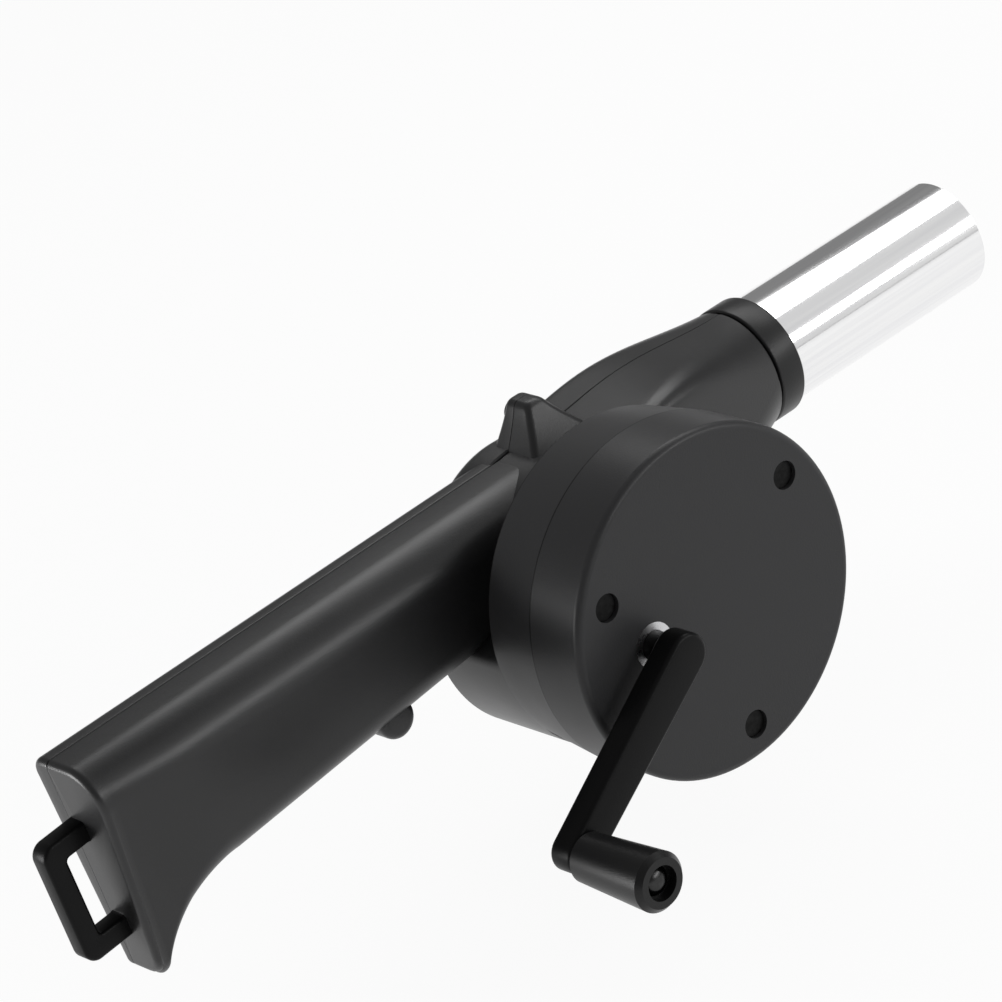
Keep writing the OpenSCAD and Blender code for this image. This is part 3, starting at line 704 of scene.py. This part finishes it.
# Gear case and gear cover. Two more mouldings that lengthen the drum; fine joint lines run round
# it where they meet, and the cover's flat face is a little duller than the handle.
def jointed_plastic(name, joints_y):
    """Body plastic with thin dark lines where the distance along Y to a joint is small."""
    material = moulded_plastic(name, 0.028, 0.033, 0.36, 0.46, shine=0.26)
    tree = material.node_tree
    shader = tree.nodes["Principled BSDF"]
    group = next(n for n in tree.nodes if n.type == "GROUP")
    place = tree.nodes.new("ShaderNodeTexCoord")
    split = tree.nodes.new("ShaderNodeSeparateXYZ")
    tree.links.new(place.outputs["Object"], split.inputs[0])
    shade = group.outputs["Color"]
    for joint in joints_y:
        near = tree.nodes.new("ShaderNodeMath")
        near.operation = "COMPARE"
        near.inputs[1].default_value = joint
        near.inputs[2].default_value = 0.16 * mm
        line = tree.nodes.new("ShaderNodeMix")
        line.data_type = "RGBA"
        line.inputs[7].default_value = (0.002, 0.002, 0.002, 1)
        tree.links.new(split.outputs["Y"], near.inputs[0])
        tree.links.new(near.outputs[0], line.inputs[0])
        tree.links.new(shade, line.inputs[6])
        shade = line.outputs[2]
    tree.links.new(shade, shader.inputs["Base Color"])
    return material


case_low, case_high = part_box("gear_case")
drum_black = jointed_plastic("drum_black", (case_low.y, case_high.y))
dress(nodes["gear_case"], drum_black)
dress(nodes["gear_cover"], drum_black)
dress(nodes["cover_screws"], black_steel)


# Nozzle collar. A plain moulded ring, darker than the body, pushed over the tube against the nose
# and held by its tight bore.
collar_low, collar_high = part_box("nozzle_collar")
collar_fit = 0.03
collar_edge = 0.6
bore_edge = 0.1
collar_black = moulded_plastic("collar_black", 0.006, 0.009, 0.30, 0.42, wear=1.0, shine=0.35)


def collar():
    """A ring round the tube: a rectangle outline with rounded outer edges, turned round the tube's axis."""
    near = (collar_low.x - drum_axis.x) / mm
    far = (collar_high.x - drum_axis.x) / mm
    outer = (collar_high.z - collar_low.z) / 2 / mm
    bore = tube_r + collar_fit
    corners = np.array([[[near, bore], [far, bore], [far, outer], [near, outer]]])
    ring = rounded_rings(corners, np.array([[bore_edge, bore_edge, collar_edge, collar_edge]]), 6)[0]
    turn = np.linspace(0, 2 * math.pi, 96, endpoint=False)[None, :]
    radius = ring[:, 1:]
    points = placed(ring[:, :1], radius * np.cos(turn), tube_z + radius * np.sin(turn))
    return loft_faces(points, along=True)


make_piece("collar", [collar()], collar_black, "body", "black_plastic", "nozzle_collar")


# Hanging loop. A flat bar bent to a frame, moulded in one and held with its root in the rear wall;
# all its edges are rounded.
loop_low, loop_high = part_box("hanging_loop")
loop_bar = 4.6
loop_root = 8.0
loop_out = 11.0
loop_h = 27.0
loop_z = -5.0
loop_lean = math.radians(5)
loop_edge = 0.8
loop_corner = 3.0
loop_slot_corner = 0.9
crank_black = moulded_plastic("crank_black", 0.003, 0.005, 0.30, 0.44, wear=1.0, shine=0.12)


def drawn_in(ring, amount):
    """A ring moved inwards across its own tangent by the amount, or outwards by a negative one."""
    tangent = np.roll(ring, -1, axis=0) - np.roll(ring, 1, axis=0)
    tangent = tangent / np.maximum(np.linalg.norm(tangent, axis=1, keepdims=True), 1e-9)
    return ring + np.stack([-tangent[:, 1], tangent[:, 0]], axis=1) * amount


def hanging_loop():
    """A bar with rounded edges between a frame's outer outline and its slot, both rounded rectangles."""
    middle_x = ((loop_low.x + loop_high.x) / 2 - drum_axis.x) / mm
    middle_d = (seam_y - (loop_low.y + loop_high.y) / 2) / mm
    thick = (loop_high.y - loop_low.y) / 2 / mm
    wide = (loop_out + loop_root) / 2
    tall = loop_h / 2
    sides = np.array([[-wide, wide, -tall, tall],
                      [loop_bar - wide, wide - loop_root, loop_bar - tall, tall - loop_bar]])
    corners = np.stack([sides[:, [0, 2]], sides[:, [1, 2]], sides[:, [1, 3]], sides[:, [0, 3]]], axis=1)
    outer, hole = rounded_rings(corners, np.array([[loop_corner] * 4, [loop_slot_corner] * 4]), 14)
    angles = np.linspace(-math.pi / 2, math.pi / 2, 10)
    pull = loop_edge * (1 - np.cos(angles))
    rise = (thick - loop_edge) * np.sign(angles) + loop_edge * np.sin(angles)
    rings = [drawn_in(outer, p) for p in pull] + [drawn_in(hole, -p) for p in pull[::-1]]
    rings = np.stack(rings)
    depth = middle_d + np.concatenate([rise, rise[::-1]])[:, None]
    x = middle_x + rings[:, :, 0] * math.cos(loop_lean) - rings[:, :, 1] * math.sin(loop_lean)
    z = loop_z + rings[:, :, 1] * math.cos(loop_lean) + rings[:, :, 0] * math.sin(loop_lean)
    return loft_faces(placed(x, depth, z), along=True)


make_piece("loop", [hanging_loop()], crank_black, "body", "black_plastic", "hanging_loop")


# Crank arm and knob. The arm is a moulded tapered bar on the steel shaft, with rounded edges; the
# knob is a smooth turned grip that spins on its rivet.
crank_root = joint_at["crank_turn"]
crank_tip = joint_at["knob_spin"]
arm_low, arm_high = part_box("crank_arm")
arm_w = 9.0
arm_tip_w = 8.0
arm_edge = 1.0
knob_black = moulded_plastic("knob_black", 0.006, 0.009, 0.34, 0.48, shine=0.3)


def crank_arm():
    """Outline of two end circles and their joining sides, stacked over the depth with rounded edges."""
    along = np.array([crank_tip.x - crank_root.x, crank_tip.z - crank_root.z]) / mm
    length = np.linalg.norm(along)
    along = along / length
    turn = np.linspace(math.pi / 2, 3 * math.pi / 2, 24)
    root = np.stack([arm_w / 2 * np.cos(turn), arm_w / 2 * np.sin(turn)], axis=1)
    tip = np.stack([length - arm_tip_w / 2 * np.cos(turn), -arm_tip_w / 2 * np.sin(turn)], axis=1)
    ring = np.concatenate([root, tip])
    near = (seam_y - arm_high.y) / mm
    far = (seam_y - arm_low.y) / mm
    angles = np.linspace(0, math.pi / 2, 6)
    inset = arm_edge * (1 - np.sin(angles))
    pull = arm_edge * (1 - np.cos(angles))
    depth = np.concatenate([near + inset[::-1], far - inset])
    rings = np.stack([drawn_in(ring, p) for p in np.concatenate([pull[::-1], pull])])
    x = (crank_root.x - drum_axis.x) / mm + rings[:, :, 0] * along[0] - rings[:, :, 1] * along[1]
    z = (crank_root.z - drum_axis.z) / mm + rings[:, :, 0] * along[1] + rings[:, :, 1] * along[0]
    return loft_faces(placed(x, depth[:, None], z))


make_piece("arm", [crank_arm()], crank_black, "crank", "knob_plastic", "crank_arm")
dress(nodes["crank_knob"], knob_black)


# Steel and brass. The nozzle tube is drawn steel, polished, with faint streaks along it; the crank's
# shaft and the rivet are blackened, the other shafts and the front bush turned bright, and the inner
# bushes are plain brass.
tube_steel = streaked_metal("tube_steel", (0.84, 0.84, 0.85), (0.90, 0.90, 0.90), 0.08, 0.14,
                            (14, 900, 900))
turned_steel = streaked_metal("turned_steel", (0.58, 0.58, 0.59), (0.64, 0.64, 0.65), 0.26, 0.32,
                              (900, 300, 900))
bush_brass = streaked_metal("bush_brass", (0.60, 0.43, 0.18), (0.72, 0.53, 0.26), 0.28, 0.4,
                            (700, 300, 700))
rivet_steel = streaked_metal("rivet_steel", (0.03, 0.03, 0.03), (0.05, 0.05, 0.05), 0.2, 0.3,
                             (500, 300, 500))
dress(nodes["nozzle_tube"], tube_steel)
dress(nodes["knob_pin"], rivet_steel)
dress(nodes["crank_shaft"], black_steel)
for name in ("idler_axle", "crank_bush_front", "shaft_clip", "fan_shaft"):
    dress(nodes[name], turned_steel)
for name in ("crank_bush_rear", "fan_bush_case", "fan_bush_inlet"):
    dress(nodes[name], bush_brass)


# Fan and gears. The fan wheel is a dark moulding behind the inlet grille; the toothed wheels are
# pale nylon, with the fine grain of their moulds.
fan_black = moulded_plastic("fan_black", 0.045, 0.065, 0.4, 0.55)
gear_nylon = moulded_plastic("gear_nylon", 0.62, 0.72, 0.35, 0.45, grain=1800.0, height=0.06)
dress(nodes["fan_wheel"], fan_black)
for name in ("drive_gear", "idler_gear", "fan_pinion"):
    dress(nodes[name], gear_nylon)
